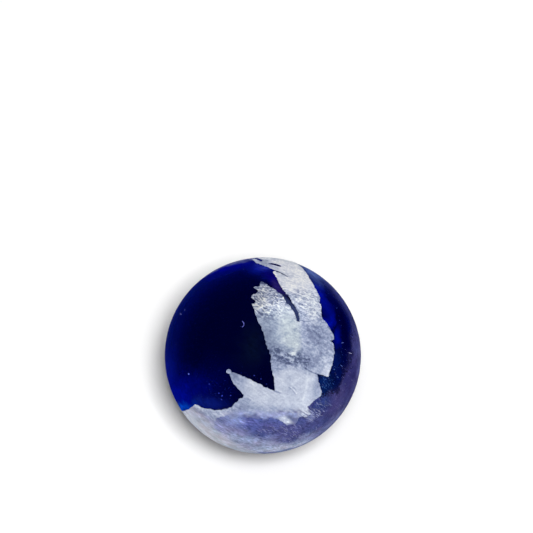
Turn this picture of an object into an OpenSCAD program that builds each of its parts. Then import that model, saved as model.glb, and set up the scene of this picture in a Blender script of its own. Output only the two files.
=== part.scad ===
// Glass marble: one ball of deep cobalt glass with torn silver leaf and a cloud of fine silver
// fused into its skin.
// The ball's centre is the origin, +Z is up, and the leafed face looks up and a little forward (-Y).

/* [Ball] */
// Diameter of the glass ball
ball_d = 22; // [14:0.5:35]

/* [Silver leaf] */
// Depth of the leaf and of the clouded skin beside it, which lie flush in the glass
leaf_t = 0.2; // [0.1:0.05:0.4]
// Angle that the leafed face leans forward from straight up
face_lean = 15; // [0:5:45]
// Diameter of the bead of silver at the beak's tip
bead_d = 0.5; // [0.3:0.05:0.8]

/* [Hidden] */
$fn = 180;

ball_r = ball_d / 2;
// A leaf cutter stands from the middle of the ball to a little past its skin
cutter_h = ball_r * 1.2;

// Every place on the face is [across, up], in degrees of arc from the face's middle.
// The leaf is laid on in three fields, each cut square to the skin at its own place.
body_at = [12, 0];
shoulder_at = [12, 75];
sweep_at = [-40, -55];

// The long strip, from its cut under the shoulder down to the foot of the slot
long_strip = [
    [8.5, 54], [34.5, 54], [36.5, 46], [38.5, 39], [37.5, 35], [38.5, 31.5], [37.5, 29],
    [38, 27], [37.5, 24], [40.5, 20.5], [22, 19], [22.5, 22], [21.5, 27], [20, 30],
    [18, 32.5], [16.5, 36.5], [14, 40], [12.5, 42], [10.5, 47.5], [10, 50]
];

// The short strip, with the ragged fingers of its torn end
short_strip = [
    [-0.8, 48.2], [1.5, 46.5], [4, 44.4], [9.2, 40], [12, 37.5], [14.5, 32.5], [19, 26], [20.5, 21],
    [23, 18], [-2, 18.5], [-3.3, 22], [-4.5, 25.5], [-5.7, 28.5], [-6.5, 30.7], [-4.7, 31.6],
    [-4.8, 33.6], [-7.3, 35.7], [-6.5, 37.2], [-4, 38.9], [-2.4, 40], [-3.5, 41.4], [-6, 43],
    [-4.2, 44], [-1.6, 44.3], [-2.1, 47.2]
];

// The broad sheet under both strips, with the nick and the sharp corner of its right edge
broad_sheet = [
    [-2.5, 20.5], [40.5, 21], [43, 17.5], [45, 14.5], [45.8, 10.5], [42.5, 9.4], [44.8, 7.4],
    [46, 3], [44.8, -3], [41.3, -13.5], [33.5, -11.5], [26.5, -8.5], [5, -8.5], [4.5, 0],
    [2, 6], [0.5, 12], [-0.5, 15.5]
];

// The lower flap, from under the broad sheet to its ragged hem and hanging tab
lower_flap = [
    [4.8, -6], [30, -6], [33.5, -12], [34.5, -17], [36, -20], [37.5, -23.5], [36.5, -26.5],
    [33, -28], [28, -32.5], [30, -35], [31.5, -38], [28.5, -40], [23.5, -39.5], [21, -45],
    [15.5, -45], [9.5, -40], [5, -38.5], [2, -37], [-3, -39.5], [-10, -38], [-15, -38.5],
    [-10, -20], [7, -20.8], [6.5, -15]
];

// The beak that points left from the lower flap, and the start of the sweep below it
beak = [
    [8, -21], [5, -20], [0, -17.5], [-5, -15], [-10, -13], [-15.5, -10], [-18, -9.8],
    [-20.2, -9.6], [-19.5, -11.2], [-18, -15], [-15, -19.5], [-11.5, -23], [-12, -24.5], [-14.5, -26.5],
    [-20, -32], [-22.5, -33], [-22, -38], [-20.5, -41], [-15, -38.5], [-5, -38.5], [5, -36]
];
bead_at = [-20, -9.2];

// The shoulder of the long strip, which runs over the ball's far side and ends torn
shoulder = [
    [10.2, 48.5], [35.5, 48.5], [33.5, 57], [33, 62], [31.5, 70], [30, 75], [30, 85], [29, 92],
    [24, 95], [18, 94], [12, 97], [5, 95], [-1, 97], [-6, 93], [-5, 86], [-2.5, 80],
    [0, 74], [-0.5, 71.5], [-3, 74], [-6.5, 80], [-9, 80.5], [-7, 75], [-5, 70],
    [-2, 67.3], [2.3, 64.2], [8.5, 60.2], [9.2, 59], [7.6, 57.8], [7.2, 56.5], [8.8, 52.5]
];
shoulder_tear = [[3.5, 68.6], [7, 69.8], [11, 68.6], [14.4, 65.8], [13, 64.6], [10, 65.4], [6.5, 66.8]];
shoulder_crack = [[7.5, 60.3], [12, 57.4], [16.5, 54], [11.5, 57], [7.5, 59]];

// The sweep that wraps round the ball's lower left side and ends torn underneath
sweep = [
    [-18, -31], [-25.5, -34.2], [-31, -35.2], [-35, -34.6], [-41, -35.2], [-43.5, -33.6],
    [-46, -33], [-48, -34.5], [-54, -39], [-65, -45.2], [-75, -50], [-81, -53], [-73, -65],
    [-60, -77], [-44, -87], [-26, -94], [-8, -96], [2, -88], [-6, -76], [-18, -66],
    [-28, -58], [-34, -50], [-33, -45], [-30, -41], [-22.5, -37.8], [-20.3, -41], [-18, -39.8]
];

// Round clouds of haze along the lower right side: [turn, arc] of the middle, and the reach
haze_clouds = [
    [-97, 76, 40], [-70, 82, 46], [-45, 86, 46], [-20, 88, 37], [2, 90, 30], [18, 90, 21]
];

// Unit direction from the ball's middle to a place on the face
function towards(p) =
    let (arc = max(norm(p), 0.001))
    [p.x * sin(arc) / arc, p.y * sin(arc) / arc, cos(arc)];

// The same direction seen by someone looking straight down on another place
function seen_over(v, at) =
    let (
        turn = atan2(at.y, at.x),
        lean = norm(at),
        along = v.x * cos(turn) + v.y * sin(turn)
    )
    [along * cos(lean) - v.z * sin(lean), v.y * cos(turn) - v.x * sin(turn)];

// An outline on the face, as a flat shape standing over that place
function flat(outline, at) = [for (p = outline) ball_r * seen_over(towards(p), at)];

module stand_on(at) {
    rotate([0, norm(at), atan2(at.y, at.x)]) linear_extrude(cutter_h) children();
}

module body_field() {
    stand_on(body_at) {
        polygon(flat(long_strip, body_at));
        polygon(flat(short_strip, body_at));
        polygon(flat(broad_sheet, body_at));
        polygon(flat(lower_flap, body_at));
        polygon(flat(beak, body_at));
        translate(flat([bead_at], body_at)[0]) circle(d = bead_d, $fn = 48);
    }
}

module shoulder_field() {
    stand_on(shoulder_at) difference() {
        polygon(flat(shoulder, shoulder_at));
        polygon(flat(shoulder_tear, shoulder_at));
        polygon(flat(shoulder_crack, shoulder_at));
    }
}

module sweep_field() {
    stand_on(sweep_at) polygon(flat(sweep, sweep_at));
}

// The room that the leaf takes up, open outwards past the skin
module leaf_room() {
    rotate([face_lean, 0, 0]) difference() {
        union() {
            body_field();
            shoulder_field();
            sweep_field();
        }
        sphere(r = ball_r - leaf_t);
    }
}

// The room that the haze takes up round the leaf, open outwards past the skin
module haze_room() {
    rotate([face_lean, 0, 0]) difference() {
        for (c = haze_clouds)
            rotate([0, c[1], c[0]]) translate([0, 0, ball_r * cos(c[2])]) cylinder(r = cutter_h, h = ball_r);
        sphere(r = ball_r - leaf_t);
    }
}

module glass_ball() {
    color([0.01, 0.02, 0.35]) difference() {
        sphere(r = ball_r);
        leaf_room();
        haze_room();
    }
}

module silver_leaf() {
    color([0.78, 0.8, 0.84]) intersection() {
        sphere(r = ball_r);
        leaf_room();
    }
}

module silver_haze() {
    color([0.36, 0.38, 0.62]) difference() {
        intersection() {
            sphere(r = ball_r);
            haze_room();
        }
        leaf_room();
    }
}

glass_ball();
silver_leaf();
silver_haze();
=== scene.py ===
# The looks of the glass marble: cobalt glass, torn silver leaf, flecks, floor, light and camera.
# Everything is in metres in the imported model's frame. Places on the leafed face are
# [across, up], in degrees of arc from the face's middle, as in the part's source.
import math

import bmesh
import bpy
import numpy as np
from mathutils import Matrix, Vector, geometry, kdtree, noise


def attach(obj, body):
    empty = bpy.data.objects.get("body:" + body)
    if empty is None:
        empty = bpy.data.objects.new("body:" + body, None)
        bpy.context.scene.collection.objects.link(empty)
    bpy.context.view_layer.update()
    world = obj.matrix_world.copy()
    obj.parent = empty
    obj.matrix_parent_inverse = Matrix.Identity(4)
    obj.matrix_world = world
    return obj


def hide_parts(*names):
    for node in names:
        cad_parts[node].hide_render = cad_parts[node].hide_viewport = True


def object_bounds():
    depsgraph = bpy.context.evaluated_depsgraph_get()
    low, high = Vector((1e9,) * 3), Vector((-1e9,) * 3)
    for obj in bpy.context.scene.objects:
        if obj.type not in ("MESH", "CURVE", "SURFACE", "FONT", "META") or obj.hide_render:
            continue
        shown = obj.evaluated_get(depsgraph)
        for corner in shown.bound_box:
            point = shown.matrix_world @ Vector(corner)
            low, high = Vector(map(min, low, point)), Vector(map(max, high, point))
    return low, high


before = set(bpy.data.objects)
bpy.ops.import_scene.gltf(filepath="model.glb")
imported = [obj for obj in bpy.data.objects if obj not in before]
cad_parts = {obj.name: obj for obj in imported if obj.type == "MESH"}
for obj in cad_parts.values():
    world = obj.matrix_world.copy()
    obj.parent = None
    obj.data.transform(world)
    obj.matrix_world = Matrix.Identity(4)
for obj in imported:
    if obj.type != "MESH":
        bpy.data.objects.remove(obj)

CAD_BOX = [list(corner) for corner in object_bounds()]
MM = 0.001
FLOOR_Z = CAD_BOX[0][2]
BALL_R = (CAD_BOX[1][2] - CAD_BOX[0][2]) / 2
ARC = BALL_R * math.pi / 180          # length of one degree of arc on the skin
FACE_LEAN = math.radians(15)          # the leafed face leans forward from straight up

# The face's own axes: to its right, up across it, and straight out of it
RIGHT = np.array([1.0, 0.0, 0.0])
UP = np.array([0.0, math.cos(FACE_LEAN), math.sin(FACE_LEAN)])
OUT = np.array([0.0, -math.sin(FACE_LEAN), math.cos(FACE_LEAN)])


# ---------------------------------------------------------------- places on the ball

def linear(colour):
    """A colour given in levels of 255, as linear light."""
    c = np.asarray(colour, float) / 255
    return np.where(c < 0.04045, c / 12.92, ((c + 0.055) / 1.055) ** 2.4)


def towards(places):
    """Unit directions from the ball's middle to places on the face."""
    places = np.asarray(places, float)
    arc = np.maximum(np.hypot(places[:, 0], places[:, 1]), 1e-6)
    side = np.sin(np.radians(arc)) / arc
    return (
        np.outer(places[:, 0] * side, RIGHT)
        + np.outer(places[:, 1] * side, UP)
        + np.outer(np.cos(np.radians(arc)), OUT)
    )


def unrolled(points):
    """Places on the face of points near the skin."""
    unit = points / np.linalg.norm(points, axis=1)[:, None]
    arc = np.degrees(np.arccos(np.clip(unit @ OUT, -1, 1)))
    side = np.maximum(np.hypot(unit @ RIGHT, unit @ UP), 1e-9)
    return np.stack([arc * (unit @ RIGHT) / side, arc * (unit @ UP) / side], 1)


def turned(places, turn):
    """How far places lie along a direction of the face, and how far across it."""
    c, s = math.cos(math.radians(turn)), math.sin(math.radians(turn))
    return places[:, 0] * c + places[:, 1] * s, places[:, 1] * c - places[:, 0] * s


def smooth(low, high, value):
    """0 up to low and 1 from high on, with a soft step between them."""
    t = np.clip((value - low) / (high - low), 0, 1)
    return t * t * (3 - 2 * t)


def blob(places, middle, reach, turn=0.0, edge=0.45):
    """1 in the middle of an ellipse on the face, falling softly to 0 at its rim."""
    along, across = turned(places - np.array(middle), turn)
    far = np.hypot(along / reach[0], across / reach[1])
    return 1 - smooth(1 - edge, 1 + edge, far)


def stroke(places, line, width):
    """1 along a line on the face, falling softly to 0 at its width."""
    near = np.full(len(places), np.inf)
    for a, b in zip(line, line[1:]):
        a, b = np.array(a, float), np.array(b, float)
        t = np.clip(((places - a) @ (b - a)) / ((b - a) @ (b - a)), 0, 1)
        near = np.minimum(near, np.linalg.norm(places - a - t[:, None] * (b - a), axis=1))
    return 1 - smooth(0, 1, near / width)


NOISE = "PERLIN_ORIGINAL"
CREST_SLOPE = 2.2           # how steeply sharp-crested noise falls from its crests
CREST_GAIN = 0.55           # how strong each finer layer of it is, beside the one before


def fractal(points, size, octaves, rough=0.6):
    """Soft fractal noise, about -1 to 1, whose largest lumps are size across."""
    return np.array([
        noise.fractal(Vector(p) / size, rough, 2.0, octaves, noise_basis=NOISE)
        for p in points
    ])


def ridges(points, octaves):
    """Sharp-crested noise, 0 to 1, whose largest creases are 1 apart."""
    crests = np.zeros(len(points))
    total = 0.0
    for octave in range(octaves):
        finer = 2.0 ** octave
        gain = CREST_GAIN ** octave
        lumps = np.array([noise.noise(Vector(p) * finer, noise_basis=NOISE) for p in points])
        crests += gain * (1 - CREST_SLOPE * np.abs(lumps))
        total += gain
    return np.clip(crests / total, 0, 1)


def drawn_out(places, turn, long, wide, layer):
    """Points for noise that is drawn out along a turn; long and wide are in degrees of arc."""
    along, across = turned(places, turn)
    return np.stack([along / long, across / wide, np.full(len(places), layer)], 1)


def grain(places, turn, long, wide, octaves, layer):
    """Soft noise on the face, about -1 to 1, drawn out along a turn."""
    return fractal(drawn_out(places, turn, long, wide, layer), 1.0, octaves)


def crest(places, turn, long, wide, octaves, layer):
    """Sharp-crested noise on the face, 0 to 1, drawn out along a turn."""
    return ridges(drawn_out(places, turn, long, wide, layer), octaves)


# ---------------------------------------------------------------- the leaf's outline

SKIN_DEPTH = 0.02 * MM      # a point of the solid less deep than this lies on its outer skin
WELD = 0.002 * MM           # points of the solid nearer than this are one point
FEWEST = 8                  # a closed edge has more points than this, or it is only a sliver
BEAD = (-20, -9.2)          # the round bead at the beak's tip, which stays whole
BEAD_ROOM = (3, 3)
TORN_ROUGH = 0.75           # how strong the finer tearing is, beside the coarser
BATCH = 4000                # points tested at a time


def coordinates(mesh):
    """A mesh's points, one to a row."""
    co = np.zeros(len(mesh.vertices) * 3)
    mesh.vertices.foreach_get("co", co)
    return co.reshape(-1, 3)


def border(rings):
    """The directed edges that only one face uses, with each face given as its ring of points."""
    uses = {}
    for ring in rings:
        ring = list(ring)
        for edge in zip(ring, ring[1:] + ring[:1]):
            if edge[::-1] in uses:
                del uses[edge[::-1]]
            elif edge[0] != edge[1]:
                uses[edge] = True
    return list(uses)


def leaf_loops():
    """The closed edges of the leaf's outer skin, taken from the CAD node, as places on the face."""
    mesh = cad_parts["silver_leaf"].data
    co = coordinates(mesh)
    skin = np.linalg.norm(co, axis=1) > BALL_R - SKIN_DEPTH
    first = {}
    weld = [first.setdefault(tuple(np.round(p / WELD).astype(int)), i) for i, p in enumerate(co)]
    outside = [face.vertices for face in mesh.polygons if all(skin[i] for i in face.vertices)]
    after = dict(border([weld[i] for i in ring] for ring in outside))
    loops = []
    while after:
        start, here = next(iter(after.items()))
        del after[start]
        loop = [start]
        while here != start and here in after:
            loop.append(here)
            here = after.pop(here)
        if len(loop) > FEWEST:
            loops.append(unrolled(co[loop]))
    return loops


def leaf_outline():
    """The leaf's outer edge, and the edges of the openings in it."""
    loops = leaf_loops()
    outer = max(loops, key=len)
    return outer, [loop for loop in loops if loop is not outer]


def resampled(loop, step):
    """The same closed line with its points an even step apart."""
    ring = np.vstack([loop, loop[:1]])
    run = np.concatenate([[0], np.cumsum(np.linalg.norm(np.diff(ring, axis=0), axis=1))])
    at = np.linspace(0, run[-1], max(int(run[-1] / step), FEWEST), endpoint=False)
    return np.stack([np.interp(at, run, ring[:, 0]), np.interp(at, run, ring[:, 1])], 1)


def torn(loop, depth, lump):
    """The line pushed in and out along its normal, as torn foil is; depth and lump are lengths."""
    ahead = np.roll(loop, -3, axis=0) - np.roll(loop, 3, axis=0)
    normal = np.stack([ahead[:, 1], -ahead[:, 0]], 1) / np.linalg.norm(ahead, axis=1)[:, None]
    push = fractal(towards(loop) * BALL_R, lump, 5, TORN_ROUGH) * (1 - blob(loop, BEAD, BEAD_ROOM))
    return loop + normal * (push * depth / ARC)[:, None]


def inside(points, loop):
    """True for each point that lies inside a closed line."""
    hit = np.zeros(len(points), bool)
    a, b = loop, np.roll(loop, -1, axis=0)
    for first in range(0, len(points), BATCH):
        p = points[first:first + BATCH]
        x, y = p[:, :1], p[:, 1:]
        crosses = (a[:, 1] > y) != (b[:, 1] > y)
        with np.errstate(divide="ignore", invalid="ignore"):
            at = (b[:, 0] - a[:, 0]) * (y - a[:, 1]) / (b[:, 1] - a[:, 1]) + a[:, 0]
        hit[first:first + BATCH] = (np.where(crosses, x < at, False).sum(1) % 2) == 1
    return hit


# ---------------------------------------------------------------- meshes

ROW_GAP = 0.866             # between rows of even triangles, in steps
JITTER = 0.18               # how far a place of the grid lies off its row at most, in steps
RIM_ROOM = 0.5              # how near the grid comes to the edges, in steps
SAME_PLACE = 1e-7           # places nearer than this are one, in degrees of arc


def point_tree(points):
    """A search tree of flat places."""
    tree = kdtree.KDTree(len(points))
    for i, p in enumerate(points):
        tree.insert((p[0], p[1], 0), i)
    tree.balance()
    return tree


def gaps(points, others):
    """How far each point is from the nearest of the others."""
    tree = point_tree(others)
    return np.array([tree.find((p[0], p[1], 0))[2] for p in points])


def within(points, outer, holes):
    """True for each point inside the outer edge and outside every hole."""
    keep = inside(points, outer)
    for hole in holes:
        keep &= ~inside(points, hole)
    return keep


def unpinched(tris):
    """The triangles without those at a point where the edge of the sheet touches itself."""
    while True:
        edges = np.concatenate([tris[:, [0, 1]], tris[:, [1, 2]], tris[:, [2, 0]]])
        pairs, uses = np.unique(np.sort(edges, axis=1), axis=0, return_counts=True)
        points, meets = np.unique(pairs[uses == 1], return_counts=True)
        pinched = points[meets > 2]
        if not len(pinched):
            return tris
        tris = tris[~np.isin(tris, pinched).any(axis=1)]


def even_grid(outer, step, seed):
    """Places about a step apart over the box round an outline."""
    rng = np.random.default_rng(seed)
    low, high = outer.min(0), outer.max(0)
    xs = np.arange(low[0], high[0], step)
    ys = np.arange(low[1], high[1], step * ROW_GAP)
    grid = np.array([(x + (step / 2 if j % 2 else 0), y) for j, y in enumerate(ys) for x in xs])
    return grid + rng.uniform(-JITTER, JITTER, grid.shape) * step


def flat_mesh(outer, holes, step, seed):
    """Even triangles that fill an outline on the face, as places and triangles."""
    rings = [outer] + holes
    rim = np.vstack(rings)
    grid = even_grid(outer, step, seed)
    grid = grid[within(grid, outer, holes)]
    grid = grid[gaps(grid, rim) >= step * RIM_ROOM]
    edges = []
    first = 0
    for ring in rings:
        n = len(ring)
        edges += [(first + i, first + (i + 1) % n) for i in range(n)]
        first += n
    places = [Vector(p) for p in np.vstack([rim, grid])]
    filled = geometry.delaunay_2d_cdt(places, edges, [], 0, SAME_PLACE)
    verts = np.array([tuple(v) for v in filled[0]])
    tris = np.array(filled[2])
    tris = unpinched(tris[within(verts[tris].mean(1), outer, holes)])
    used = np.unique(tris)
    renumber = np.full(len(verts), -1)
    renumber[used] = np.arange(len(used))
    return verts[used], renumber[tris]


def linked(name, data):
    """A new object with this data, put in the scene."""
    made = bpy.data.objects.new(name, data)
    bpy.context.scene.collection.objects.link(made)
    return made


def mesh_object(name, points, faces, smooth_shade=True):
    """A new object from points and faces, with every face looking outwards."""
    mesh = bpy.data.meshes.new(name)
    mesh.from_pydata([tuple(p) for p in points], [], [tuple(int(i) for i in f) for f in faces])
    mesh.validate()
    turning = bmesh.new()
    turning.from_mesh(mesh)
    bmesh.ops.recalc_face_normals(turning, faces=turning.faces)
    turning.to_mesh(mesh)
    turning.free()
    mesh.polygons.foreach_set("use_smooth", [smooth_shade] * len(mesh.polygons))
    return linked(name, mesh)


def add_values(made, **values):
    """Writes named numbers on a mesh's points, for its material to read."""
    for name, numbers in values.items():
        layer = made.data.attributes.new(name, "FLOAT", "POINT")
        layer.data.foreach_set("value", np.asarray(numbers, np.float32))


def add_colour(made, name, colours):
    """Writes a linear colour on each of a mesh's points, for its material to read."""
    layer = made.data.attributes.new(name, "FLOAT_COLOR", "POINT")
    opaque = np.c_[np.clip(colours, 0, 1), np.ones(len(colours))]
    layer.data.foreach_set("color", opaque.astype(np.float32).ravel())


SHARP = math.radians(50)    # a shell's edges that turn more than this are shaded sharp


def shell(name, places, tris, top, bottom):
    """A closed thin shell on the ball, between two radii given at each place."""
    unit = towards(places)
    n = len(places)
    points = np.vstack([unit * top[:, None], unit * bottom[:, None]])
    faces = [tuple(t) for t in tris] + [(t[2] + n, t[1] + n, t[0] + n) for t in tris]
    for a, b in border(tris):
        faces += [(b, a, a + n), (b, a + n, b + n)]
    made = mesh_object(name, points, faces)
    made.data.set_sharp_from_angle(angle=SHARP)
    return made


# ---------------------------------------------------------------- the leaf

LEAF_STEP = 0.087 * MM      # between the points of the leaf's skin
RIM_STEP = LEAF_STEP / 2    # between the points of its edges
LEAF_SUNK = 0.02 * MM       # how deep the leaf's back lies under the ball's skin
LEAF_LEAST = 0.006 * MM     # how far its front stands over the skin at least
LEAF_SEED = 11
TEARS = [(0.06 * MM, 0.8 * MM), (0.09 * MM, 0.35 * MM)]     # depth and lump, coarse and then fine
HOLE_TEAR = (0.05 * MM, 0.5 * MM)                           # the same for the openings
# The line along which the upper sheet lies over the lower flap, where a painted shadow darkens the
# leaf
OVERLAP_SHADOW_LINE = [(25, -7.6), (28, -9.4), (31, -10.7), (34.1, -11.8), (38, -13.2), (42, -14)]
CREASES = [
    # line, width in degrees, height, and tone: painted shade along the sunken creases and painted
    # light along the raised ones
    ([(25.6, -2), (26.3, -9), (26.8, -15), (26.2, -21), (24.5, -27)], 1.3, 0.01, 0.055),
    ([(15.2, -18.6), (17.4, -20.6), (19.6, -23.4)], 0.5, -0.02, -0.16),
    ([(16.2, -18.4), (18.4, -20.4), (20.4, -23)], 0.45, 0.018, 0.12),
    ([(17.8, -18.6), (19.8, -20.8)], 0.4, -0.015, -0.1),
    ([(9, 59.3), (12.5, 57.4), (17, 53.6)], 0.6, -0.03, -0.5),
    ([(5, -7.8), (8, -7.6), (11, -7.9)], 0.5, -0.01, -0.12),
    ([(7, -20.8), (8.6, -21.5), (10.4, -22.2)], 0.8, -0.012, -0.2),
    ([(-12, -26.6), (-10, -27.6), (-8.6, -28.6)], 0.4, -0.012, -0.14),
    ([(-11.5, -25.4), (-9.4, -26), (-7.4, -26.2)], 0.4, -0.01, -0.1),
    ([(12, 69.4), (15.5, 67.6), (19, 66.8)], 0.9, -0.01, -0.12),
    ([(22.2, 21.4), (25, 20.6), (29, 20.8)], 0.5, -0.012, -0.2),
]
TONES = [
    # middle, reach, turn, softness, how much lighter or darker
    ((20, 62), (20, 24), 0, 0.4, 0.165),        # lighter top of the long strip
    ((20, 81), (14, 5), 0, 0.8, -0.1),
    ((22, 72), (6, 5), 0, 0.9, -0.05),
    ((15, 55), (4, 5), 0, 0.9, -0.08),
    ((0, 81), (6, 4), 0, 0.8, 0.2),
    ((6, 65), (6, 2.5), -35, 0.8, -0.18),
    ((31, 73), (3, 10), 10, 0.8, -0.12),
    ((1, 73), (5, 4), -20, 0.8, -0.21),
    ((3, 33), (11, 12), 20, 0.5, 0.02),         # crinkled strips
    ((28, 33), (12, 12), 0, 0.5, 0.03),
    ((32, 30), (6, 8), 0, 0.8, 0.12),
    ((0, 32), (5, 5), 0, 0.8, 0.07),
    ((7, 41.5), (6, 2), -42, 0.8, -0.14),
    ((-0.5, 47.2), (2.6, 1.8), -45, 0.6, -0.35),
    ((36, 6), (13, 17), 0, 0.4, -0.06),         # granular right side
    ((32, 13), (9, 5), -15, 0.8, -0.09),
    ((40, -9), (4, 6), 0, 0.8, 0.12),
    ((24, -8), (5, 4), 0, 0.8, -0.05),
    ((4, 10), (7, 15), 15, 0.8, -0.13),
    ((14, -20), (30, 12), 0, 0.3, 0.07),        # smooth lower flap and beak
    ((34, -19), (3, 8), -10, 0.8, -0.14),
    ((0, -32), (20, 3), 0, 0.8, -0.05),
    ((25, -34), (5, 6), 0, 0.8, 0.1),
    ((-14, -15), (7, 3), -45, 0.8, -0.09),
    # painted shade along the beak's lower edge
    ((-13, -31), (7, 3), 45, 0.8, -0.09),
    ((-38, -40), (10, 3), -10, 0.8, -0.1),      # sweep
    ((-60, -60), (34, 30), -38, 0.4, 0.05),
]
PATCHES = {
    # middle, reach, turn, softness
    "left strip": ((3, 35), (12, 13), 20, 0.5),
    "right strip": ((28, 33), (13, 12), 0, 0.5),
    "upper strip": ((16, 66), (20, 22), 0, 0.4),
    "strip_top": ((20, 62), (20, 24), 0, 0.4),
    "smooth": ((14, -22), (34, 14), 0, 0.3),
    # a painted soft highlight on the leaf, and the paler halo round it, where the mottling is weaker
    "cloud": ((16, 14), (8, 14), 14, 0.6),
    "highlight_halo": ((9, 15), (15, 14), 14, 0.5),
    "dashes": ((25, 39.5), (13, 3.5), 2, 0.6),
    "clumps": ((15, -1), (15, 4.5), -14, 0.6),
    "sweep": ((-52, -56), (34, 24), -38, 0.5),
    "brush": ((29, -36), (6, 8), 0, 0.5),
    "tab": ((14, -41.2), (5, 2.6), -38, 0.5),
}
GRAINS = {
    # turn, length and width of the lumps in degrees of arc, octaves, layer of the noise
    "specks": (-15, 1.5, 1.0, 3, 4.0),
    "mottle": (-25, 4.2, 1.9, 4, 7.0),
    "clouds": (30, 9, 6, 4, 9.0),
    "brushed": (-38, 9, 0.9, 3, 14.0),
    "clumps": (-20, 3.0, 1.5, 4, 17.0),
    "hem": (-50, 5, 2.0, 4, 20.0),
    "brush": (-40, 6, 1.0, 3, 23.0),
    "below": (20, 7, 2.5, 3, 25.0),
    "bend across": (0, 9, 6, 2, 31.0),
    "bend up": (0, 7, 7, 2, 33.0),
    "painted_glints": (0, 3, 3, 2, 41.0),
    "dashes": (-8, 4.5, 0.9, 2, 44.0),
    "sweep": (-38, 9, 2.2, 4, 51.0),
}
FOLDS = {
    # as in GRAINS, but sharp-crested
    "steep": (-33, 5.5, 1.5, 2, 2.0),
    "level": (-12, 5.5, 1.5, 2, 5.0),
    "small": (-24, 3.2, 1.1, 2, 8.0),
}
LEVEL_HEIGHT, LEVEL_TONE = 0.016, 0.67      # of the leaf where no layer changes it
LAYERS = {
    # height in mm and tone that each layer adds where it is strongest
    "fold height": (0.055, 0),
    "fold shade": (0, 0.42),
    "left shade": (0, 0.12),
    # painted glinting on the crests of the left strip's folds
    "painted_glints": (0, 0.24),
    "dashes": (0, -0.20),
    "clouds": (0, 0.05),
    "mottle": (0.008, 0.14),
    "specks": (0.006, 0.095),
    "brushed": (0, 0.05),
    # a painted soft highlight
    "cloud": (0, 0.06),
    "sweep": (0, 0.13),
    "clumps": (0, -0.29),
    "flap": (0.015, 0),
    "overlap_shadow": (0, -0.3),
    "tab": (0, 0.06),
    "rim": (0, -0.06),
}
CRINKLED = {"left strip": 1, "right strip": 0.85, "upper strip": 0.35}      # how strong its folds are
EVEN = {"smooth": 0.75, "strip_top": 0.6, "highlight_halo": 0.4125}       # how much of the fine mottling is lost
HIGHLIGHT_CAST = (0.97, 1.0, 0.90)      # what the silver's colour is multiplied by on the painted highlight
TOP_CAST = (1.0, 0.96, 0.92)
EDGE_DOWN = ((-46, -34.5), (-0.36, -0.93))      # a place on the sweep's upper edge, and the way down
FLAP_UP = (0.31, 0.95)      # the way up from the overlap line
HIGHLIGHT_ENDS = (21.2, 24)     # how far across the painted highlight ends
HEM_DOWN = (-32, -37)       # how far up the face the hem turns to haze
HEM_ACROSS = (-30, -18)     # how far across that starts
HEM_MOST = 0.88             # how hazy the hem gets
VEIL_ACROSS = (-72, -44)    # how far across the sweep's haze starts


def wrinkles(places, lumps):
    """Short wavy folds, 0 to 1: steep on the left of the leaf and level on its right."""
    moved = places + 1.5 * np.stack([lumps["bend across"], lumps["bend up"]], 1)
    steep, level, small = [crest(moved, *shape) for shape in FOLDS.values()]
    right = smooth(0, 12, places[:, 0] + 0.2 * places[:, 1] - 6)
    large = smooth(0.35, 0.95, steep + (level - steep) * right)
    return np.maximum(large, 0.72 * smooth(0.3, 0.85, small))


def leaf_haze(places, part, lumps):
    """How far the leaf thins out to a blue haze, 0 to 1: along its hem, and down the sweep."""
    x, y = places.T
    brush = part["brush"] * smooth(-0.35, 0.1, lumps["brush"])
    hem = smooth(*HEM_DOWN, y + 1.6 * lumps["hem"]) * smooth(*HEM_ACROSS, x) * (1 - brush)
    start, down = np.array(EDGE_DOWN)
    below = smooth(1, 4.5, (places - start) @ down + 2.2 * lumps["below"])
    # The veil stays thin near the limb at the far left
    limb = smooth(66, 80, np.hypot(x, y)) * (1 - smooth(-52, -34, x))
    veil = smooth(*VEIL_ACROSS, x) * below * (1 - 0.6 * limb)
    return np.clip(np.maximum(HEM_MOST * hem, veil) * (1 - part["tab"]), 0, 1)


def leaf_layers(places, part, lumps, crinkle, blue, rim):
    """Each layer of the leaf's relief and tone: how strong it is at each place."""
    x = places[:, 0]
    folds = wrinkles(places, lumps)
    coarse = 1 - np.maximum.reduce([share * part[name] for name, share in EVEN.items()])
    return {
        "fold height": crinkle * (folds - 0.4),
        "fold shade": crinkle * (folds - 0.62),
        "left shade": part["left strip"] * (folds - 0.5),
        "painted_glints": part["left strip"] * smooth(0.7, 0.9, folds) * smooth(0.0, 0.25, lumps["painted_glints"]),
        "dashes": part["dashes"] * smooth(0.1, 0.35, lumps["dashes"]),
        "clouds": lumps["clouds"],
        "mottle": lumps["mottle"] * coarse,
        "specks": lumps["specks"] * coarse,
        "brushed": lumps["brushed"] * part["smooth"],
        "cloud": part["cloud"],
        "sweep": lumps["sweep"] * part["sweep"],
        "clumps": part["clumps"] * smooth(-0.3, 0.2, lumps["clumps"]),
        "flap": smooth(-0.2, 0.4, places @ np.array(FLAP_UP) - 0.1) * smooth(24, 27, x),
        "overlap_shadow": stroke(places, OVERLAP_SHADOW_LINE, 0.55),
        "tab": part["tab"],
        "rim": (1 - smooth(0.0, 0.7, gaps(places, rim))) * (1 - blue),
    }


def leaf_cast(part):
    """A tint over the silver: greenish on the painted highlight, and warm on the long strip's top and
    on the left strip.
    """
    cast = np.ones((len(part["highlight_halo"]), 3))
    cloudy = np.maximum(part["cloud"], 0.7 * part["highlight_halo"])
    warm = np.maximum(part["strip_top"], 0.5 * part["left strip"]) * (1 - part["highlight_halo"])
    for colour, share in ((HIGHLIGHT_CAST, cloudy), (TOP_CAST, warm)):
        cast = cast + (np.array(colour) - cast) * share[:, None]
    return cast


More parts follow.
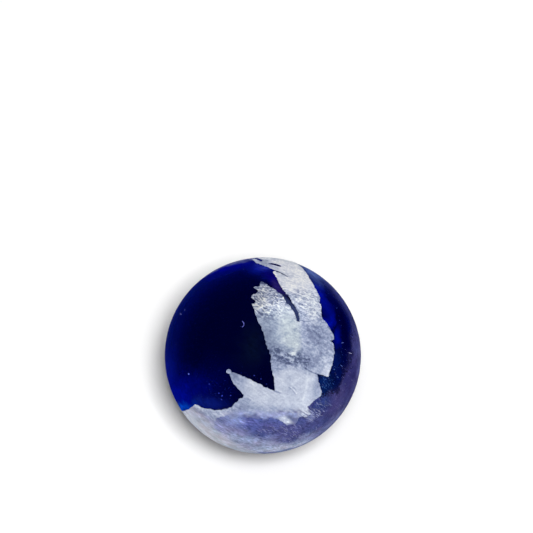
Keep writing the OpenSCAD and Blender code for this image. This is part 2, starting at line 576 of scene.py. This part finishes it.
def leaf_look(places, rim):
    """The leaf at each place: height over the ball's skin in metres, tone, crinkle, haze and cast."""
    part = {name: blob(places, *shape) for name, shape in PATCHES.items()}
    lumps = {name: grain(places, *shape) for name, shape in GRAINS.items()}
    # The painted highlight and the paler halo round it end sharply on their right
    ends = 1 - smooth(*HIGHLIGHT_ENDS, places[:, 0] + 0.8 * lumps["specks"])
    part["cloud"] *= ends
    part["highlight_halo"] *= ends
    crinkle = np.maximum.reduce([share * part[name] for name, share in CRINKLED.items()])
    blue = leaf_haze(places, part, lumps)
    layers = leaf_layers(places, part, lumps, crinkle, blue, rim)
    height = LEVEL_HEIGHT + sum(LAYERS[name][0] * layer for name, layer in layers.items())
    tone = LEVEL_TONE + sum(LAYERS[name][1] * layer for name, layer in layers.items())
    for middle, reach, turn, edge, light in TONES:
        tone += light * blob(places, middle, reach, turn, edge)
    for line, width, rise, light in CREASES:
        mark = stroke(places, line, width)
        height += rise * mark
        tone += light * mark
    return height * MM, tone, crinkle, blue, leaf_cast(part)


def leaf(outer, holes):
    """The torn silver leaf, as a thin closed skin with its folds as relief."""
    for tear in TEARS:
        outer = torn(resampled(outer, RIM_STEP / ARC), *tear)
    holes = [torn(resampled(hole, RIM_STEP / ARC), *HOLE_TEAR) for hole in holes]
    places, tris = flat_mesh(outer, holes, LEAF_STEP / ARC, LEAF_SEED)
    height, tone, crinkle, blue, cast = leaf_look(places, np.vstack([outer] + holes))
    front = BALL_R + np.maximum(height, LEAF_LEAST)
    back = np.full(len(places), BALL_R - LEAF_SUNK)
    made = shell("leaf_skin", places, tris, front, back)
    add_values(made, tone=np.tile(tone, 2), crinkle=np.tile(crinkle, 2), blue=np.tile(blue, 2))
    add_colour(made, "tint", np.tile(haze_and_reflection_colour(places), (2, 1)))
    add_colour(made, "cast", np.tile(cast, (2, 1)))
    return made


# ---------------------------------------------------------------- materials

SILVER = [
    # tone, colour
    (0.34, (74, 84, 120)),
    (0.50, (120, 131, 163)),
    (0.62, (152, 163, 192)),
    (0.80, (204, 211, 226)),
    (0.92, (236, 240, 243)),
]


def new_material(name):
    """An empty material and its node tree."""
    made = bpy.data.materials.new(name)
    made.use_nodes = True
    made.node_tree.nodes.clear()
    return made, made.node_tree


def node(tree, kind, inputs=None, **settings):
    """A node with its settings, and with each input linked or set."""
    made = tree.nodes.new(kind)
    for key, value in settings.items():
        setattr(made, key, value)
    for key, value in (inputs or {}).items():
        if isinstance(value, bpy.types.NodeSocket):
            tree.links.new(value, made.inputs[key])
        else:
            made.inputs[key].default_value = value
    return made


def math_node(tree, operation, a, b):
    """The outcome of one sum on two values."""
    return node(tree, "ShaderNodeMath", {0: a, 1: b}, operation=operation).outputs[0]


def mixed(tree, factor, a, b):
    """Colour a, going over to colour b; the mix node's colours are its inputs 6 and 7."""
    return node(tree, "ShaderNodeMix", {0: factor, 6: a, 7: b}, data_type="RGBA").outputs[2]


def centred(tree, value, gain):
    """Noise from 0 to 1 moved to lie round zero, and made stronger."""
    return math_node(tree, "MULTIPLY", math_node(tree, "SUBTRACT", value, 0.5), gain)


def scaled(tree, colour, factor):
    """A colour made brighter or darker by a factor."""
    inputs = {0: colour, "Scale": factor}
    return node(tree, "ShaderNodeVectorMath", inputs, operation="SCALE").outputs[0]


def brightened(tree, colour, extra, gain):
    """A colour times one plus some share of another value."""
    return scaled(tree, colour, math_node(tree, "ADD", math_node(tree, "MULTIPLY", extra, gain), 1.0))


def soft_step(tree, value, low, high, first=0.0, last=1.0):
    """Goes softly from first to last while a value goes from low to high."""
    return node(tree, "ShaderNodeMapRange", {
        "Value": value, "From Min": low, "From Max": high, "To Min": first, "To Max": last,
    }, interpolation_type="SMOOTHSTEP").outputs[0]


def attribute(tree, name, output="Fac"):
    """A value or colour that the mesh carries at its points."""
    return node(tree, "ShaderNodeAttribute", attribute_name=name).outputs[output]


def ramp(tree, factor, stops):
    """Colours along a value, given as places and linear colours."""
    made = node(tree, "ShaderNodeValToRGB", {0: factor})
    bar = made.color_ramp.elements
    while len(bar) < len(stops):
        bar.new(0.5)
    for stop, (place, colour) in zip(bar, stops):
        stop.position = place
        stop.color = (*colour, 1)
    return made.outputs[0]


def own_place(tree):
    """Where a point is on its own object, in metres."""
    return node(tree, "ShaderNodeTexCoord").outputs["Object"]


def fine_noise(tree, size, detail, rough):
    """Even noise, 0 to 1, whose largest lumps are size across."""
    return node(tree, "ShaderNodeTexNoise", {
        "Vector": own_place(tree), "Scale": 1 / size, "Detail": detail, "Roughness": rough,
    }).outputs["Fac"]


def streaks(tree, turn, long, wide, detail, rough):
    """Noise drawn out along one direction of the face; long and wide are lengths."""
    place = own_place(tree)
    c, s = math.cos(math.radians(turn)), math.sin(math.radians(turn))
    axes = [(c * RIGHT + s * UP) / long, (c * UP - s * RIGHT) / wide, OUT / wide]
    drawn = node(tree, "ShaderNodeCombineXYZ")
    for i, axis in enumerate(axes):
        along = node(tree, "ShaderNodeVectorMath", {0: place, 1: tuple(axis)}, operation="DOT_PRODUCT")
        tree.links.new(along.outputs["Value"], drawn.inputs[i])
    return node(tree, "ShaderNodeTexNoise", {
        "Vector": drawn.outputs[0], "Scale": 1.0, "Detail": detail, "Roughness": rough,
    }).outputs["Fac"]


def haze_grain(tree):
    """Scratches and specks in the haze, round zero."""
    scratch = streaks(tree, turn=-34, long=0.8 * MM, wide=0.18 * MM, detail=3.0, rough=0.6)
    speck = fine_noise(tree, size=0.6 * MM, detail=4.0, rough=0.7)
    return math_node(tree, "ADD", centred(tree, scratch, 2.9), centred(tree, speck, 1.6))


def finished(tree, shader, volume=None):
    """Ends a material with its surface, and with what fills it."""
    end = node(tree, "ShaderNodeOutputMaterial", {"Surface": shader.outputs[0]})
    if volume:
        tree.links.new(volume.outputs[0], end.inputs["Volume"])


def leaf_colour(tree, fine):
    """Silver by its tone and cast, with the tinted haze over it."""
    value = math_node(tree, "ADD", attribute(tree, "tone"), centred(tree, fine, 0.3))
    silver = ramp(tree, value, [(place, linear(colour)) for place, colour in SILVER])
    cast = attribute(tree, "cast", "Color")
    silver = node(tree, "ShaderNodeVectorMath", {0: silver, 1: cast}, operation="MULTIPLY").outputs[0]
    haze = brightened(tree, attribute(tree, "tint", "Color"), haze_grain(tree), 0.45)
    return mixed(tree, attribute(tree, "blue"), silver, haze)


def silver_material():
    """Dull torn silver that shines more where it is crinkled, and less where it is hazy."""
    made, tree = new_material("silver_leaf")
    fine = fine_noise(tree, size=0.22 * MM, detail=4.0, rough=0.7)
    crinkle = attribute(tree, "crinkle")
    bare = math_node(tree, "SUBTRACT", 1.0, attribute(tree, "blue"))
    shine = math_node(tree, "ADD", 0.2, math_node(tree, "MULTIPLY", crinkle, 0.35))
    bump = node(tree, "ShaderNodeBump", {"Strength": 0.35, "Distance": 0.02 * MM, "Height": fine})
    shader = node(tree, "ShaderNodeBsdfPrincipled", {
        "Base Color": leaf_colour(tree, fine),
        "Metallic": math_node(tree, "MULTIPLY", bare, shine),
        "Roughness": math_node(tree, "SUBTRACT", 0.45, math_node(tree, "MULTIPLY", crinkle, 0.15)),
        "Normal": bump.outputs[0],
        "Specular IOR Level": 0.3,
    })
    finished(tree, shader)
    return made


def glass_material():
    """Cobalt glass that absorbs all but blue, with its painted glows, and its haze of fine silver and
    painted reflection, as colour in it.
    """
    made, tree = new_material("cobalt_glass")
    tint = attribute(tree, "tint", "Color")
    grainy = haze_grain(tree)
    # The haze's own edge breaks up into streaks and specks
    broken = math_node(tree, "ADD", attribute(tree, "haze"), math_node(tree, "MULTIPLY", grainy, 0.35))
    share = math_node(tree, "MAXIMUM", attribute(tree, "veil"), soft_step(tree, broken, 0.1, 0.85))
    shader = node(tree, "ShaderNodeBsdfPrincipled", {
        "Base Color": brightened(tree, tint, grainy, attribute(tree, "grain")),
        "Roughness": 0.02,
        "IOR": 1.006,
        "Specular IOR Level": 0.0,
        "Transmission Weight": math_node(tree, "SUBTRACT", 1.0, share),
    })
    volume = node(tree, "ShaderNodeVolumeAbsorption", {
        "Color": (0.0, 0.2, 0.855, 1), "Density": 1000.0,
    })
    finished(tree, shader, volume)
    return made


def fleck_material():
    """Fine silver flakes, each in its own colour."""
    made, tree = new_material("fine_silver")
    worn = centred(tree, fine_noise(tree, size=0.1 * MM, detail=2.0, rough=0.5), 0.8)
    bright = math_node(tree, "ADD", worn, 1.0)
    shader = node(tree, "ShaderNodeBsdfPrincipled", {
        "Base Color": scaled(tree, attribute(tree, "tint", "Color"), bright),
        "Metallic": 0.2,
        "Roughness": 0.45,
        "Specular IOR Level": 0.2,
    })
    finished(tree, shader)
    return made


WHITE_FROM, WHITE_TO = 0.04, 0.14       # metres from the ball where the floor turns to plain white


def floor_material():
    """A white floor that keeps the ball's shadow and shows as even white farther off."""
    made, tree = new_material("floor")
    near = node(tree, "ShaderNodeBsdfDiffuse", {"Color": (0.95, 0.95, 0.95, 1)})
    white = node(tree, "ShaderNodeEmission", {"Color": (1, 1, 1, 1), "Strength": 1.0})
    off = node(tree, "ShaderNodeVectorMath", {0: own_place(tree)}, operation="LENGTH").outputs["Value"]
    rays = node(tree, "ShaderNodeLightPath").outputs
    through = math_node(tree, "MAXIMUM", rays["Is Glossy Ray"], rays["Is Transmission Ray"])
    seen = math_node(tree, "MAXIMUM", rays["Is Camera Ray"], through)
    share = math_node(tree, "MULTIPLY", soft_step(tree, off, WHITE_FROM, WHITE_TO), seen)
    both = node(tree, "ShaderNodeMixShader", {0: share, 1: near.outputs[0], 2: white.outputs[0]})
    finished(tree, both)
    return made


# ---------------------------------------------------------------- the ball

BALL_CUTS = 7           # rounds of the ball's mesh: 20 triangles, and then four for one each round
BODY_SHARE = 0.35       # how much of the bare glass shows its own blue, and not what is behind it
LIMB_SHARE = 0.7        # the same at the limb, where the painted rim glow shows
HAZE_SOFT = 8           # degrees of arc to each side of its edge over which the haze fades in
HAZE_WANDER = 5         # degrees of arc that noise moves its edge and its colours
HAZE_BACK = (102, 125)  # degrees of arc where it fades out behind the limb
GLOW_WANDER = 3.5       # degrees of arc that noise moves the glows
GLOW_BACK = (87, 100)   # degrees of arc where they fade out behind the limb
BODY_AND_RIM_GLOW_TONES = [
    # degrees of arc from the middle of the face, colour: dark in the middle, and a painted glow of
    # light through the thin rim towards the limb
    (0, (0, 1, 32)), (40, (0, 1, 37)), (50, (0, 2, 46)), (58, (0, 3, 62)), (66, (1, 8, 80)),
    (74, (3, 15, 96)), (82, (6, 22, 112)), (92, (10, 28, 116)), (106, (0, 6, 70)), (130, (0, 1, 34)),
    (180, (0, 1, 32)),
]
# Colour painted over the bare glass: mostly a painted glow where light comes through the thin rim and
# beside the leaf, a painted reflection of the white floor along the upper and right limb, and the
# purple-grey in the slot between the strips
PAINTED_GLOWS = [
    # middle, reach, turn, softness, colour, share
    ((-28, 73), (24, 11), 12, 0.9, (0, 0, 150), 0.9),
    ((-1, 62), (10, 7), -38, 0.9, (10, 25, 146), 0.88),
    ((1, 64), (5, 4), -38, 0.9, (38, 48, 154), 0.9),
    ((8, 50), (4.5, 9), 35, 0.7, (8, 2, 104), 0.9),
    ((56, 22), (9, 27), 8, 0.95, (0, 0, 60), 0.6),
    ((40, 44), (4.5, 15), 4, 0.9, (2, 14, 150), 0.88),
    ((42, 23), (3.2, 10), -24, 0.95, (0, 12, 150), 0.85),
    ((48.5, 12), (3.4, 7), -4, 0.9, (0, 12, 140), 0.8),
    ((48, -6), (5, 9), -4, 0.9, (2, 20, 88), 0.7),
    ((-80, -18), (16, 22), 0, 0.9, (6, 20, 146), 0.8),
    ((-46, -22), (24, 12), 22, 0.95, (0, 5, 92), 0.6),
    ((-68, -32), (24, 12), 24, 0.9, (0, 12, 156), 0.8),
    ((-36, -31), (12, 5), 10, 0.9, (10, 26, 118), 0.8),
    ((-66, -42.5), (17, 4.5), 25, 0.8, (0, 74, 215), 0.9),
    ((11, 42), (3, 8), 31, 0.5, (36, 28, 100), 0.85),
    ((18.6, 27), (3, 9), 31, 0.5, (52, 62, 104), 0.85),
    ((-6, 6), (8, 12), -20, 0.95, (6, 16, 46), 0.6),
    ((-14, 80), (22, 5), 12, 0.7, (84, 92, 156), 0.9),
    ((-24, 84), (16, 5), 10, 0.8, (140, 144, 190), 0.9),
    ((-42, 74), (12, 4.5), 29, 0.9, (104, 114, 176), 0.9),
    ((37, 68), (7, 16), 12, 0.8, (42, 60, 126), 0.85),
    ((44, 72), (11, 14), 32, 0.8, (100, 124, 198), 0.85),
    ((68, 46), (9, 26), 34, 0.9, (70, 76, 148), 0.78),
    ((40, -19), (6, 7), 60, 0.8, (8, 34, 96), 0.7),
]
HAZE_EDGE = [
    # turn round the face, degrees of arc where the haze starts, and how strong it is; the haze is fine
    # silver and, toward the limb, a painted reflection of the white floor
    (-180, 110, 0), (-148, 105, 0), (-138, 60, 0.8), (-127, 48, 1), (-116, 35, 1), (-90, 32, 1),
    (-60, 36, 1), (-45, 40, 1), (-38, 43, 1), (-31, 52, 1), (-26, 56, 1), (-18, 58, 1),
    (-10, 60, 0.95), (0, 62, 0.9), (10, 66, 0.75), (20, 72, 0.6), (45, 80, 0.4), (80, 88, 0.3),
    (180, 110, 0),
]
# the haze's colours: fine silver, and toward the limb a painted reflection of the white floor
HAZE_AND_REFLECTION_TONES = [
    # middle, reach, turn, colour: painted one over another
    ((0, 0), (400, 400), 0, (62, 60, 112)),
    ((60, 50), (30, 45), 0, (60, 64, 130)),
    ((86, -10), (12, 34), 0, (84, 86, 140)),
    ((63, -15), (8, 12), 0, (48, 46, 102)),
    ((0, -50), (42, 16), 0, (69, 77, 131)),
    ((14, -51), (16, 8), -20, (74, 76, 128)),
    ((-1, -57), (13, 3.5), 0, (104, 112, 160)),
    ((29, -67), (19, 8), 16, (123, 131, 171)),
    ((-10, -43), (22, 4), -8, (84, 90, 151)),
    ((38, -31), (9, 7), -30, (44, 56, 113)),
    ((-4, -35), (28, 2.6), -2, (142, 150, 198)),
    ((-26, -54), (24, 10), -24, (132, 138, 182)),
    ((-12, -62), (34, 7), -14, (146, 154, 188)),
    ((4, -70.5), (40, 6), -2, (150, 158, 188)),
    ((38, -74), (16, 6), 30, (146, 154, 188)),
    ((12, -71.5), (26, 2.4), 3, (174, 181, 206)),
    ((-4, -83), (62, 7), 2, (112, 125, 166)),
    ((-26, -76), (16, 8), -8, (106, 118, 152)),
    ((54, -58), (20, 8), 50, (100, 106, 152)),
    ((-58, -62), (36, 24), -38, (180, 186, 200)),
    ((-44, -46), (12, 4.5), -30, (168, 174, 198)),
    ((-33, -47), (6, 4), -50, (136, 142, 184)),
    ((-24, -76), (14, 7), -10, (138, 148, 174)),
    ((7, -41), (9, 2.5), 0, (82, 90, 150)),
    ((-20, -40.5), (8, 4), -10, (132, 140, 190)),
    ((32, -41), (2.6, 3.2), -40, (124, 132, 178)),
]


def painted(base, colour, share):
    """Colours painted over with one colour, each by its share."""
    return base + (linear(colour) - base) * share[:, None]


def wandering(places, size, octaves, far):
    """The same places, each moved a little off by noise; far is in degrees of arc."""
    wander = fractal(towards(places) * BALL_R, size, octaves)
    return places + far * np.stack([wander, -wander], 1)


def haze_and_reflection_amount(places):
    """How much haze covers the glass, 0 to 1: below the leaf and along the right side, where it stands
    for fine silver and, toward the limb, a painted reflection of the white floor.
    """
    turn = np.degrees(np.arctan2(places[:, 1], places[:, 0]))
    arc = np.hypot(places[:, 0], places[:, 1])
    turns, arcs, strengths = np.array(HAZE_EDGE, float).T
    starts = np.interp(turn, turns, arcs)
    strength = np.interp(turn, turns, strengths)
    wander = HAZE_WANDER * fractal(towards(places) * BALL_R, 2.5 * MM, 4)
    cover = smooth(-HAZE_SOFT, HAZE_SOFT, arc + wander - starts)
    return strength * cover * (1 - smooth(*HAZE_BACK, arc))


def haze_and_reflection_colour(places):
    """The haze's colour at each place, mottled in brightness and a little in hue: fine silver, and
    toward the limb a painted reflection of the white floor.
    """
    colour = np.zeros((len(places), 3))
    moved = wandering(places, 3 * MM, 4, HAZE_WANDER)
    for middle, reach, turn, tone in HAZE_AND_REFLECTION_TONES:
        colour = painted(colour, tone, blob(moved, middle, reach, turn, 0.55))
    mottle = fractal(towards(places) * BALL_R + 0.01, 1.1 * MM, 4)
    hue = fractal(towards(places) * BALL_R - 0.02, 1.4 * MM, 3)
    return colour * (1 + 0.25 * mottle[:, None] + hue[:, None] * np.array([0.1, -0.02, -0.02]))


def bare_glass(places):
    """The glass without its haze: colour with its painted glows, the share that shows it, and how
    strongly the painted glows show.
    """
    arc = np.hypot(places[:, 0], places[:, 1])
    limb = smooth(60, 88, arc) * (1 - smooth(95, 120, arc))
    veil = BODY_SHARE + (LIMB_SHARE - BODY_SHARE) * limb
    stops = np.array([linear(tone) for _, tone in BODY_AND_RIM_GLOW_TONES])
    arcs = [at for at, _ in BODY_AND_RIM_GLOW_TONES]
    colour = np.stack([np.interp(arc, arcs, stops[:, i]) for i in range(3)], 1) / veil[:, None]
    moved = wandering(places, 2.2 * MM, 5, GLOW_WANDER)
    glow = np.zeros(len(places))
    for middle, reach, turn, edge, tone, most in PAINTED_GLOWS:
        share = blob(moved, middle, reach, turn, edge) * (1 - smooth(*GLOW_BACK, arc))
        glow = np.maximum(glow, share)
        colour = painted(colour, tone, share)
        veil = np.maximum(veil, BODY_SHARE + (most - BODY_SHARE) * share)
    return colour, veil, glow


def ball():
    """The cobalt ball, with its painted glows and its haze of fine silver and painted reflection as
    colour and cover in its glass.
    """
    made = bmesh.new()
    bmesh.ops.create_icosphere(made, subdivisions=BALL_CUTS, radius=BALL_R)
    mesh = bpy.data.meshes.new("glass_body")
    made.to_mesh(mesh)
    made.free()
    mesh.polygons.foreach_set("use_smooth", [True] * len(mesh.polygons))
    body = linked("glass_body", mesh)
    places = unrolled(coordinates(mesh))
    colour, veil, glow = bare_glass(places)
    haze = haze_and_reflection_amount(places)
    colour += (haze_and_reflection_colour(places) - colour) * smooth(0.02, 0.6, haze)[:, None]
    calm = 1 - 0.45 * smooth(35, 55, places[:, 0])
    add_colour(body, "tint", colour)
    add_values(body, veil=veil, haze=haze, grain=np.maximum(0.7 * haze, 0.6 * glow) * calm)
    return body


# ---------------------------------------------------------------- flecks

FLECK_HALF = 0.006 * MM     # how far a flake reaches over and under the ball's skin
FLECK_SIDES = 8
FLECK_SEED = 7
FLECK_LIMB = 86             # no flake lies farther than this from the middle of the face
FLECK_FIELDS = [
    # how many, middle, spread, turn, shortest and longest, width, colour
    (60, (16, -52), (9, 5), -46, (2.0, 5.0), 0.45, (120, 124, 176)),
    (26, (2, -50), (12, 4), -30, (1.2, 3.6), 0.45, (122, 130, 182)),
    (60, (36, -35), (5, 4), -38, (2.0, 5.5), 0.45, (82, 92, 150)),
    (36, (33, -38.5), (4, 3), -36, (2.0, 4.5), 0.6, (142, 150, 192)),
    (80, (39.5, -19), (3, 6), -50, (0.4, 1.5), 0.36, (40, 80, 150)),
    (40, (50, -8), (6, 9), -30, (0.3, 1.4), 0.3, (26, 50, 124)),
    (80, (-24, -23), (10, 7), 20, (0.3, 0.8), 0.36, (12, 26, 104)),
    (24, (-1, -13), (7, 3), 20, (0.3, 0.6), 0.3, (12, 20, 92)),
    (56, (54, -26), (9, 14), -42, (0.8, 4.0), 0.22, (74, 72, 132)),
    (36, (-24, -45), (9, 3), -16, (0.6, 2.2), 0.36, (150, 156, 204)),
    (30, (50, 50), (6, 16), -50, (0.4, 1.4), 0.3, (36, 56, 140)),
    (24, (-52, 20), (22, 24), 60, (0.3, 0.7), 0.3, (14, 16, 96)),
]
LONE_FLECKS = [
    # middle, turn, length, width, colour
    ((62, 1.5), -8, 5.0, 0.45, (205, 206, 226)),
    ((53.5, 8.4), 8, 3.4, 0.5, (96, 112, 190)),
    ((52.5, -7), -32, 3.0, 0.45, (84, 110, 180)),
    ((46, -9), -20, 2.0, 0.5, (60, 96, 172)),
    ((49.5, -14.5), -35, 2.4, 0.4, (70, 100, 170)),
    ((-48.7, -12), 20, 1.7, 1.5, (76, 92, 200)),
    ((-33, -17.5), 0, 1.1, 0.9, (44, 52, 160)),
    ((-27, -23), 0, 1.0, 0.9, (48, 60, 170)),
    ((-25, -24.5), 30, 1.5, 0.8, (44, 60, 176)),
    ((-19.5, -24), 0, 1.0, 0.9, (48, 60, 168)),
    ((-25.5, -27), -40, 1.6, 0.8, (40, 56, 160)),
    ((-5, -11.5), 0, 1.0, 0.8, (50, 60, 150)),
    ((-1, -13.5), 30, 0.9, 0.7, (40, 50, 140)),
    ((2, -16.5), 0, 0.8, 0.7, (36, 46, 130)),
    ((-61, 31), -35, 4.5, 1.2, (40, 44, 128)),
    ((-57, 33.5), 10, 1.6, 0.9, (40, 44, 132)),
]
# The small crescent mark on the bare glass, as flakes in a row, its light blue a painted reflection
# off the fracture: the middle and turn of each
MOON = [((-11.8, 19.9), -48), ((-11.1, 19.0), -78), ((-11.1, 17.9), -104), ((-11.8, 17.0), -150)]
MOON_SIZE = (1.6, 0.8)
MOON_GLINT_COLOUR = (92, 96, 176)


def fleck(middle, turn, long, wide, rng):
    """Outline of one small flake on the face."""
    around = np.linspace(0, 2 * math.pi, FLECK_SIDES, endpoint=False)
    reach = rng.uniform(0.72, 1.0, FLECK_SIDES)
    flake = np.stack([np.cos(around) * reach * long / 2, np.sin(around) * reach * wide / 2], 1)
    return np.stack(turned(flake, -turn), 1) + np.array(middle)


def all_flecks():
    """Every flake's outline and colour."""
    rng = np.random.default_rng(FLECK_SEED)
    found = []
    for count, middle, spread, turn, lengths, width, colour in FLECK_FIELDS:
        for _ in range(count):
            at = rng.normal(middle, spread)
            long = rng.uniform(*lengths)
            wide = min(width * rng.uniform(0.7, 1.3), long)
            shade = np.array(colour) * rng.uniform(0.7, 1.08)
            found.append((fleck(at, turn + rng.normal(0, 12), long, wide, rng), shade))
    for middle, turn, long, wide, colour in LONE_FLECKS:
        found.append((fleck(middle, turn, long, wide, rng), colour))
    for middle, turn in MOON:
        found.append((fleck(middle, turn, *MOON_SIZE, rng), MOON_GLINT_COLOUR))
    return found


def flecks(leaf_edge):
    """Tiny closed flakes on the skin of the bare glass."""
    points, faces, colours = [], [], []
    for outline, colour in all_flecks():
        middle = outline.mean(0)
        if np.hypot(*middle) > FLECK_LIMB or inside(middle[None], leaf_edge)[0]:
            continue
        n, first = len(outline), len(points)
        unit = towards(outline)
        points += list(unit * (BALL_R + FLECK_HALF)) + list(unit * (BALL_R - FLECK_HALF))
        faces += [tuple(range(first, first + n)), tuple(range(first + 2 * n - 1, first + n - 1, -1))]
        for i in range(n):
            j = (i + 1) % n
            faces.append((first + j, first + i, first + n + i, first + n + j))
        colours += [linear(colour)] * (2 * n)
    made = mesh_object("flecks", points, faces, False)
    add_colour(made, "tint", np.array(colours))
    return made


# ---------------------------------------------------------------- put together

outline, openings = leaf_outline()

glass = ball()
glass.data.materials.append(glass_material())
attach(glass, "root")
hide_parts("glass_ball", "silver_haze")

skin = leaf(outline, openings)
skin.data.materials.append(silver_material())
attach(skin, "root")
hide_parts("silver_leaf")

dust = flecks(outline)
dust.data.materials.append(fleck_material())
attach(dust, "root")

# ---------------------------------------------------------------- floor

FLOOR_HALF = 3.0
CORNERS = [(-1, -1), (1, -1), (1, 1), (-1, 1)]
floor = mesh_object("floor", [(x * FLOOR_HALF, y * FLOOR_HALF, FLOOR_Z) for x, y in CORNERS],
                    [(0, 1, 2, 3)], False)
floor.data.materials.append(floor_material())

# ---------------------------------------------------------------- light

KEY_PLACE = (5.6, 4.2)          # where on the face the key light stands straight over the skin
SHINE_PLACE = (14.0, 24.0)      # where the leaf mirrors the shine light to the camera
HORIZON_TO, SKY_FROM = 0.08, 0.4        # heights on the unit sky between which the white horizon ends
SKY_LIGHT = 0.02                # strength of the sky over the white horizon


def area_light(name, out, distance, size, power):
    """A square soft light that looks at the ball from a direction."""
    data = bpy.data.lights.new(name, "AREA")
    data.size = size
    data.energy = power
    made = linked(name, data)
    made.location = Vector(out) * distance
    made.rotation_euler = Vector(out).to_track_quat("Z", "Y").to_euler()
    return made


def white_sky():
    """A world that is white at the horizon and nearly dark above."""
    world = bpy.data.worlds.new("studio")
    world.use_nodes = True
    sky = world.node_tree
    sky.nodes.clear()
    toward = node(sky, "ShaderNodeTexCoord").outputs["Generated"]
    level = node(sky, "ShaderNodeSeparateXYZ", {0: toward}).outputs["Z"]
    strength = soft_step(sky, level, HORIZON_TO, SKY_FROM, 1.0, SKY_LIGHT)
    back = node(sky, "ShaderNodeBackground", {"Color": (1, 1, 1, 1), "Strength": strength})
    node(sky, "ShaderNodeOutputWorld", {"Surface": back.outputs[0]})
    return world


key = area_light("key", towards([KEY_PLACE])[0], distance=0.6, size=0.15, power=3.3)
key.visible_glossy = False
fill = area_light("fill", (0, 0, 1), distance=1.0, size=1.2, power=2.9)
fill.visible_glossy = False
# The camera stands straight over the face's middle, so this light stands twice as far out as its
# mirror image, which falls on the leaf and never on bare glass
shine_place = 2 * np.array(SHINE_PLACE)
shine = area_light("shine", towards([shine_place])[0], distance=0.6, size=0.5, power=1.3)
shine.visible_diffuse = False
bpy.context.scene.world = white_sky()

# ---------------------------------------------------------------- camera

# The camera looks straight at the leafed face, and aims above the ball, which sits low in the frame
BALL_SHARE = 0.368                      # the ball's width, as a share of the frame's
AIM_ACROSS, AIM_UP = 0.04, 0.908        # from the ball's middle, in ball radii
LENS, SENSOR = 300.0, 36.0
NEAREST, FARTHEST = 0.01, 10.0          # what the camera sees lies between these

far = BALL_R * math.hypot(1, 2 * LENS / (SENSOR * BALL_SHARE))
aim = Vector(RIGHT * AIM_ACROSS + UP * AIM_UP) * BALL_R
camera = linked("camera", bpy.data.cameras.new("camera"))
camera.data.lens = LENS
camera.data.sensor_width = SENSOR
camera.data.clip_start, camera.data.clip_end = NEAREST, FARTHEST
camera.location = Vector(OUT) * far
camera.rotation_euler = (aim - camera.location).to_track_quat("-Z", "Y").to_euler()
bpy.context.scene.camera = camera
bpy.context.scene.view_settings.view_transform = "Standard"
